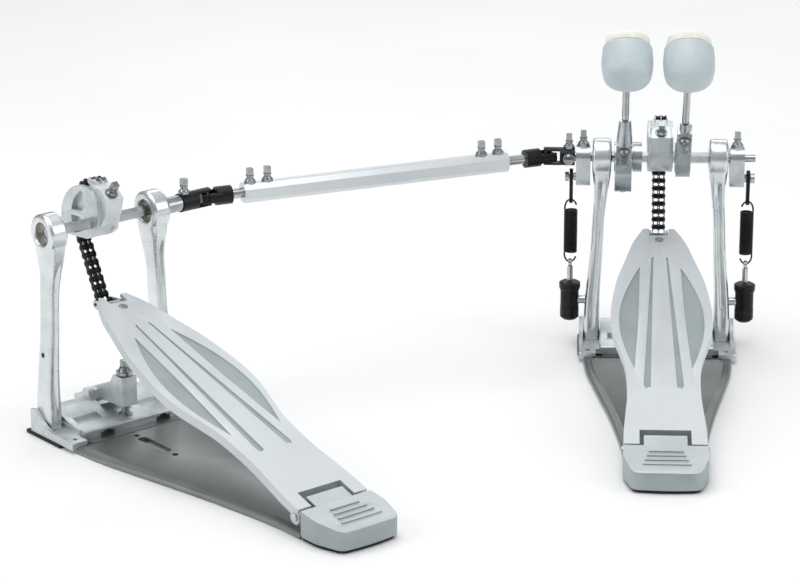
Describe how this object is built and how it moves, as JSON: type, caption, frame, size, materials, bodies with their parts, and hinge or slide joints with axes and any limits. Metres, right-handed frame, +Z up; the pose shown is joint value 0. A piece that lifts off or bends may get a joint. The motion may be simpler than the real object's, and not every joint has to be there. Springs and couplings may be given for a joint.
{
  "type": "double bass drum pedal",
  "caption": "Double bass drum pedal: main pedal with two beaters on one axle line, and a slave pedal that turns the second beater through a drive shaft with universal joints.",
  "frame": {"origin": "on the floor, straight below the middle of the main pedal's axle, on the underside of its rubber strip", "axes": "+X along the main axle away from the slave pedal, +Y towards the drum, +Z up"},
  "size_m": [0.7058, 0.6094, 0.3562],
  "materials": {
    "base_steel": "gloss gunmetal",
    "cast_satin": "satin cast",
    "polished_cast": "polished",
    "board_silver": "satin silver lacquer",
    "pad_rubber": "matte",
    "bright_steel": "bright plated",
    "chain_black": "blackened steel",
    "black_steel": "semi-gloss black",
    "tube_aluminium": "brushed",
    "beater_shell": "moulded, satin",
    "beater_felt": "pressed felt"
  },
  "bodies": {
    "base": {"main_base_plate": "base_steel", "slave_base_plate": "base_steel", "main_frame": "cast_satin", "slave_frame": "cast_satin", "main_posts": "polished_cast", "slave_posts": "polished_cast", "main_heel_block": "board_silver", "slave_heel_block": "board_silver", "rubber_pads": "pad_rubber", "hinge_pins": "bright_steel", "axle_bearings": "bright_steel"},
    "main_clamp": {"main_clamp_jaw": "cast_satin"},
    "main_clamp_screw": {"main_clamp_bolt": "bright_steel"},
    "slave_clamp": {"slave_clamp_jaw": "cast_satin"},
    "slave_clamp_screw": {"slave_clamp_bolt": "bright_steel"},
    "main_board": {"main_footboard": "board_silver", "main_toe_clip": "bright_steel"},
    "slave_board": {"slave_footboard": "board_silver", "slave_toe_clip": "bright_steel"},
    "main_drive": {"main_shaft": "bright_steel", "main_cam": "cast_satin", "main_chain_wrap": "chain_black", "main_beater_hub": "cast_satin", "right_rocker": "cast_satin", "main_key_bolts": "bright_steel"},
    "slave_drive": {"slave_shaft": "bright_steel", "slave_cam": "cast_satin", "slave_chain_wrap": "chain_black", "slave_yoke": "black_steel", "slave_key_bolts": "bright_steel"},
    "main_links_1": {"main_chain_free_1": "chain_black"},
    "main_links_2": {"main_chain_free_2": "chain_black"},
    "main_links_3": {"main_chain_free_3": "chain_black"},
    "main_run": {"main_chain_run": "chain_black"},
    "slave_links_1": {"slave_chain_free_1": "chain_black"},
    "slave_links_2": {"slave_chain_free_2": "chain_black"},
    "slave_links_3": {"slave_chain_free_3": "chain_black"},
    "slave_run": {"slave_chain_run": "chain_black"},
    "main_beater": {"main_beater_rod": "bright_steel", "main_beater_head": "beater_shell", "main_beater_felt": "beater_felt"},
    "second_beater": {"second_beater_rod": "bright_steel", "second_beater_head": "beater_shell", "second_beater_felt": "beater_felt"},
    "second_drive": {"second_shaft": "bright_steel", "second_beater_hub": "cast_satin", "left_rocker": "cast_satin", "main_yoke": "black_steel", "second_key_bolts": "bright_steel"},
    "right_adjuster": {"right_adjuster": "black_steel", "right_spring": "black_steel"},
    "left_adjuster": {"left_adjuster": "black_steel", "left_spring": "black_steel"},
    "right_hook": {"right_hook": "black_steel"},
    "left_hook": {"left_hook": "black_steel"},
    "drive_tube_line": {"tube_yokes": "black_steel", "drive_tube": "tube_aluminium", "drive_key_bolts": "bright_steel"},
    "slave_cross_piece": {"slave_cross": "bright_steel"},
    "main_cross_piece": {"main_cross": "bright_steel"}
  },
  "joints": [
    {"name": "main_axle_turn", "type": "hinge", "parent": "base", "child": "main_drive", "pos_m": [0, 0, 0.2], "axis": [1, 0, 0], "range_deg": [-40, 2], "stiffness_Nm_per_rad": 6},
    {"name": "main_board_tread", "type": "hinge", "parent": "base", "child": "main_board", "pos_m": [0, -0.348, 0.019], "axis": [1, 0, 0], "range_deg": [-5.17, 0.41]},
    {"name": "main_chain_swing", "type": "hinge", "parent": "main_board", "child": "main_run", "pos_m": [0, 0.00051, 0.1181], "axis": [1, 0, 0], "range_deg": [-1.07, 14.72]},
    {"name": "main_unwrap_1", "type": "hinge", "parent": "main_drive", "child": "main_links_1", "pos_m": [0, 0.02872, 0.22638], "axis": [1, 0, 0], "range_deg": [-0.88, 11.96]},
    {"name": "main_unwrap_2", "type": "hinge", "parent": "main_links_1", "child": "main_links_2", "pos_m": [0, 0.03687, 0.21271], "axis": [1, 0, 0], "range_deg": [-0.18, 1.99]},
    {"name": "main_unwrap_3", "type": "hinge", "parent": "main_links_2", "child": "main_links_3", "pos_m": [0, 0.03888, 0.19692], "axis": [1, 0, 0], "range_deg": [-1.73, 24.15]},
    {"name": "main_clamp_open", "type": "hinge", "parent": "base", "child": "main_clamp", "pos_m": [0, 0.008, 0.028], "axis": [1, 0, 0], "range_deg": [0, 10]},
    {"name": "main_clamp_bolt_lift", "type": "slide", "parent": "main_clamp", "child": "main_clamp_screw", "axis": [0, 0, 1], "range_m": [0, 0.0082]},
    {"name": "slave_axle_turn", "type": "hinge", "parent": "base", "child": "slave_drive", "pos_m": [-0.533, -0.238, 0.2], "axis": [0.7431, 0.6691, 0], "range_deg": [-40, 2], "stiffness_Nm_per_rad": 6},
    {"name": "slave_board_tread", "type": "hinge", "parent": "base", "child": "slave_board", "pos_m": [-0.30014, -0.49661, 0.019], "axis": [0.7431, 0.6691, 0], "range_deg": [-5.17, 0.41]},
    {"name": "slave_chain_swing", "type": "hinge", "parent": "slave_board", "child": "slave_run", "pos_m": [-0.53334, -0.23762, 0.1181], "axis": [0.7431, 0.6691, 0], "range_deg": [-1.07, 14.72]},
    {"name": "slave_unwrap_1", "type": "hinge", "parent": "slave_drive", "child": "slave_links_1", "pos_m": [-0.55222, -0.21665, 0.22638], "axis": [0.7431, 0.6691, 0], "range_deg": [-0.88, 11.96]},
    {"name": "slave_unwrap_2", "type": "hinge", "parent": "slave_links_1", "child": "slave_links_2", "pos_m": [-0.55767, -0.2106, 0.21271], "axis": [0.7431, 0.6691, 0], "range_deg": [-0.18, 1.99]},
    {"name": "slave_unwrap_3", "type": "hinge", "parent": "slave_links_2", "child": "slave_links_3", "pos_m": [-0.55901, -0.20911, 0.19692], "axis": [0.7431, 0.6691, 0], "range_deg": [-1.73, 24.15]},
    {"name": "slave_clamp_open", "type": "hinge", "parent": "base", "child": "slave_clamp", "pos_m": [-0.53835, -0.23206, 0.028], "axis": [0.7431, 0.6691, 0], "range_deg": [0, 10]},
    {"name": "slave_clamp_bolt_lift", "type": "slide", "parent": "slave_clamp", "child": "slave_clamp_screw", "axis": [0, 0, 1], "range_m": [0, 0.0082]},
    {"name": "main_beater_height", "type": "slide", "parent": "main_drive", "child": "main_beater", "axis": [0, -0.5664, 0.8241], "range_m": [-0.01, 0.012]},
    {"name": "second_beater_height", "type": "slide", "parent": "second_drive", "child": "second_beater", "axis": [0, -0.5664, 0.8241], "range_m": [-0.01, 0.012]},
    {"name": "right_adjuster_rock", "type": "hinge", "parent": "base", "child": "right_adjuster", "pos_m": [0.089, 0, 0.048], "axis": [1, 0, 0], "range_deg": [-0.46, 5.99]},
    {"name": "right_hook_pull", "type": "slide", "parent": "right_adjuster", "child": "right_hook", "axis": [0, 0, 1], "range_m": [-0.00044, 0.00604], "deforming": ["right_spring"]},
    {"name": "drive_shaft_turn", "type": "hinge", "parent": "base", "child": "drive_tube_line", "pos_m": [-0.44382, -0.1577, 0.2], "axis": [0.9032, 0.4293, 0], "range_deg": [-39.69, 2.81]},
    {"name": "second_axle_turn", "type": "hinge", "parent": "base", "child": "second_drive", "pos_m": [-0.112, 0, 0.2], "axis": [1, 0, 0], "range_deg": [-42.6, 3.01]},
    {"name": "left_adjuster_rock", "type": "hinge", "parent": "base", "child": "left_adjuster", "pos_m": [-0.089, 0, 0.048], "axis": [1, 0, 0], "range_deg": [-0.48, 6.22]},
    {"name": "left_hook_pull", "type": "slide", "parent": "left_adjuster", "child": "left_hook", "axis": [0, 0, 1], "range_m": [-0.00046, 0.00629], "deforming": ["left_spring"]},
    {"name": "slave_cross_turn", "type": "hinge", "parent": "slave_drive", "child": "slave_cross_piece", "pos_m": [-0.44382, -0.1577, 0.2], "axis": [0, 0, 1], "range_deg": [-0.31, 3.85]},
    {"name": "main_cross_turn", "type": "hinge", "parent": "second_drive", "child": "main_cross_piece", "pos_m": [-0.112, 0, 0.2], "axis": [0, 0, 1], "range_deg": [-6.05, 0.47]}
  ],
  "couplings": [
    {"joint": "main_board_tread", "follows": "main_axle_turn", "ratio": 0.1255},
    {"joint": "main_chain_swing", "follows": "main_axle_turn", "ratio": -0.3591},
    {"joint": "main_unwrap_1", "follows": "main_axle_turn", "ratio": -0.2915},
    {"joint": "main_unwrap_2", "follows": "main_axle_turn", "ratio": -0.0474},
    {"joint": "main_unwrap_3", "follows": "main_axle_turn", "ratio": -0.5901},
    {"joint": "main_clamp_bolt_lift", "follows": "main_clamp_open", "m_per_rad": 0.044691},
    {"joint": "slave_board_tread", "follows": "slave_axle_turn", "ratio": 0.1255},
    {"joint": "slave_chain_swing", "follows": "slave_axle_turn", "ratio": -0.3591},
    {"joint": "slave_unwrap_1", "follows": "slave_axle_turn", "ratio": -0.2915},
    {"joint": "slave_unwrap_2", "follows": "slave_axle_turn", "ratio": -0.0474},
    {"joint": "slave_unwrap_3", "follows": "slave_axle_turn", "ratio": -0.5901},
    {"joint": "slave_clamp_bolt_lift", "follows": "slave_clamp_open", "m_per_rad": 0.044691},
    {"joint": "right_adjuster_rock", "follows": "main_axle_turn", "ratio": -0.1455},
    {"joint": "right_hook_pull", "follows": "main_axle_turn", "m_per_rad": -0.00845},
    {"joint": "drive_shaft_turn", "follows": "slave_axle_turn", "ratio": 0.9705},
    {"joint": "second_axle_turn", "follows": "slave_axle_turn", "ratio": 1.042},
    {"joint": "left_adjuster_rock", "follows": "slave_axle_turn", "ratio": -0.151},
    {"joint": "left_hook_pull", "follows": "slave_axle_turn", "m_per_rad": -0.0088},
    {"joint": "slave_cross_turn", "follows": "slave_axle_turn", "ratio": -0.093},
    {"joint": "main_cross_turn", "follows": "slave_axle_turn", "ratio": 0.147}
  ]
}
